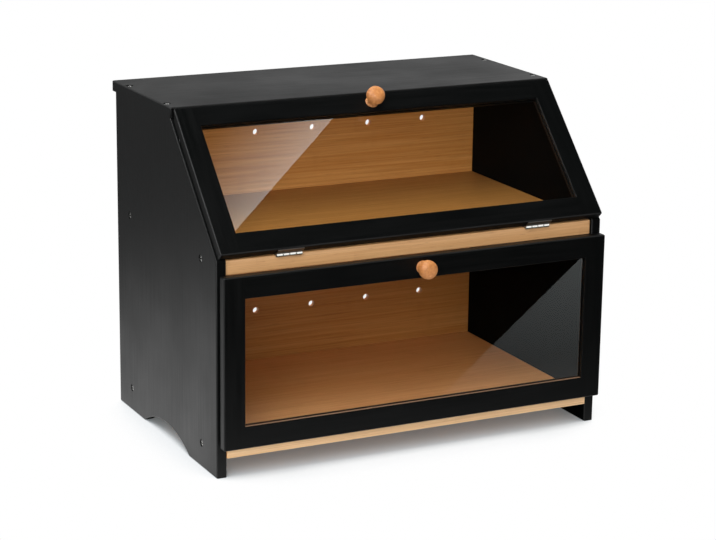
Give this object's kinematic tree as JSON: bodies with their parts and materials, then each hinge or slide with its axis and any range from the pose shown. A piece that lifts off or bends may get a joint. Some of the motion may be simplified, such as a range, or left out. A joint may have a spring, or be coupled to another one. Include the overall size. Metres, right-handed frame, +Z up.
{
  "type": "bread bin",
  "caption": "Two-tier wooden bread bin: sloping upper door and upright lower door, each with a clear pane and knob, hinged to a case with a shelf and vented back.",
  "frame": {"origin": "bottom centre of the bounding box of the closed bin, on the plane of the feet", "axes": "+X across the width, to the right for someone facing the doors; +Y from the doors to the back; +Z up"},
  "size_m": [0.4, 0.2876, 0.3318],
  "materials": {
    "black_wood": "satin black lacquer over bamboo board",
    "bamboo": "clear satin oil on laminated bamboo strips",
    "knob_bamboo": "turned bamboo, clear satin",
    "clear_acrylic": "clear polished acrylic sheet",
    "nickel": "bright nickel plate on pressed steel",
    "screw_steel": "zinc-plated steel",
    "magnet_steel": "plated magnet and strike steel",
    "dark_plastic": "moulded plastic, fine matt"
  },
  "bodies": {
    "cabinet": {"side_panel_left": "black_wood", "side_panel_right": "black_wood", "top_panel": "black_wood", "back_panel": "bamboo", "bottom_board": "bamboo", "middle_shelf": "bamboo", "shelf_front_rail": "bamboo", "top_front_rail": "bamboo", "side_screw_left_board_front": "screw_steel", "side_screw_left_board_back": "screw_steel", "side_screw_left_shelf_front": "screw_steel", "side_screw_left_shelf_back": "screw_steel", "side_screw_right_board_front": "screw_steel", "side_screw_right_board_back": "screw_steel", "side_screw_right_shelf_front": "screw_steel", "side_screw_right_shelf_back": "screw_steel", "top_screw_left_front": "screw_steel", "top_screw_left_back": "screw_steel", "top_screw_right_front": "screw_steel", "top_screw_right_back": "screw_steel", "upper_magnet_left": "magnet_steel", "upper_magnet_right": "magnet_steel", "lower_catch_magnet": "magnet_steel", "lower_catch_body": "dark_plastic", "lower_catch_screw_left": "screw_steel", "lower_catch_screw_right": "screw_steel", "upper_hinge_fixed_leaf_left": "nickel", "upper_hinge_fixed_leaf_right": "nickel", "lower_hinge_fixed_leaf_left": "nickel", "lower_hinge_fixed_leaf_right": "nickel", "upper_hinge_pin_left": "screw_steel", "upper_hinge_pin_right": "screw_steel", "lower_hinge_pin_left": "screw_steel", "lower_hinge_pin_right": "screw_steel"},
    "upper_door": {"upper_door_stile_left": "black_wood", "upper_door_stile_right": "black_wood", "upper_door_top_rail": "black_wood", "upper_door_bottom_rail": "black_wood", "upper_door_pane": "clear_acrylic", "upper_door_knob": "knob_bamboo", "upper_door_strike_left": "magnet_steel", "upper_door_strike_right": "magnet_steel", "upper_hinge_door_leaf_left": "nickel", "upper_hinge_door_leaf_right": "nickel"},
    "lower_door": {"lower_door_stile_left": "black_wood", "lower_door_stile_right": "black_wood", "lower_door_top_rail": "black_wood", "lower_door_bottom_rail": "black_wood", "lower_door_pane": "clear_acrylic", "lower_door_knob": "knob_bamboo", "lower_door_strike": "magnet_steel", "lower_hinge_door_leaf_left": "nickel", "lower_hinge_door_leaf_right": "nickel"}
  },
  "joints": [
    {"name": "upper_door_hinge", "type": "hinge", "parent": "cabinet", "child": "upper_door", "pos_m": [0, -0.11275, 0.2035], "axis": [1, 0, 0], "range_deg": [0, 130]},
    {"name": "lower_door_hinge", "type": "hinge", "parent": "cabinet", "child": "lower_door", "pos_m": [0, -0.11635, 0.0285], "axis": [1, 0, 0], "range_deg": [0, 90]}
  ]
}
